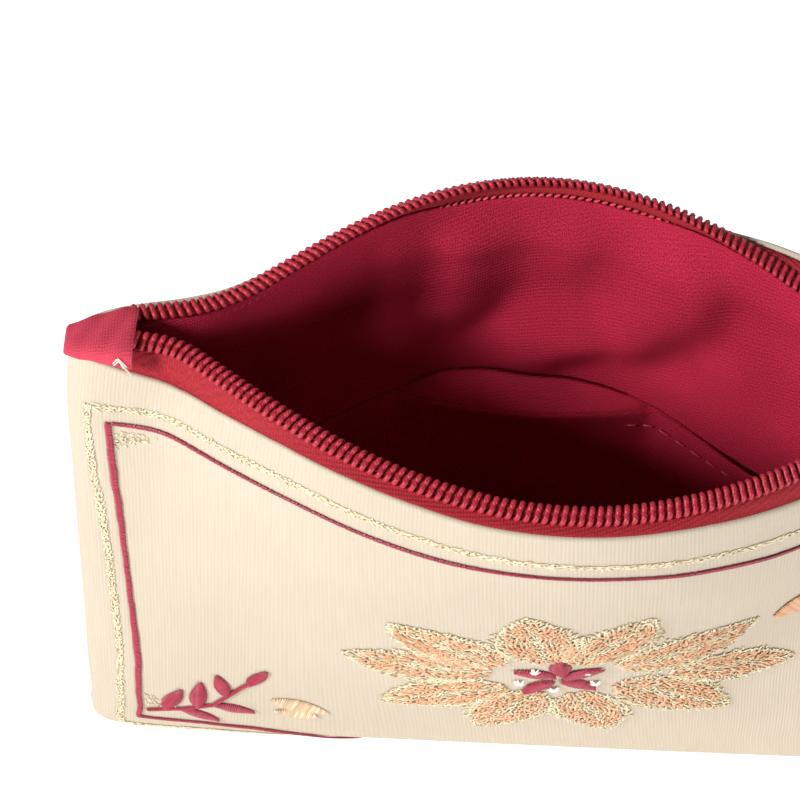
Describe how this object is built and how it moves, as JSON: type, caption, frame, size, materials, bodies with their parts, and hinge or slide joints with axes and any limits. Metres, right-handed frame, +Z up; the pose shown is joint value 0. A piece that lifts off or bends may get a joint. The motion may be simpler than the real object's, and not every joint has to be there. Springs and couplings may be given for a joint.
{
  "type": "cosmetic pouch",
  "caption": "Soft cream cloth pouch with a crimson lining, a slip pocket inside and a coil zip along its open mouth; it stands on its flat base and holds small cosmetics.",
  "frame": {"origin": "on the resting surface, under the middle of the pouch's overall box", "axes": "+X along the mouth towards the parked zip slider, -Y towards the embroidered front panel, +Z up out of the mouth"},
  "size_m": [0.1392, 0.0612, 0.1028],
  "materials": {
    "cream_cloth": "finely ribbed satin cloth, soft sheen",
    "crimson_lining": "twill cotton, matte",
    "crimson_tape": "woven zip tape, matte",
    "crimson_coil": "moulded nylon coil, half gloss",
    "gold_thread": "metallic embroidery thread, half gloss",
    "crimson_thread": "satin embroidery thread",
    "zip_metal": "polished plated metal"
  },
  "bodies": {
    "root": {"outer_shell": "cream_cloth", "lining": "crimson_lining", "slip_pocket": "crimson_lining", "zip_tape_front": "crimson_tape", "zip_tape_back": "crimson_tape", "zip_coil_front": "crimson_coil", "zip_coil_back": "crimson_coil", "zip_tab_left": "crimson_tape", "zip_tab_right": "crimson_tape", "zip_slider": "zip_metal"}
  },
  "joints": []
}
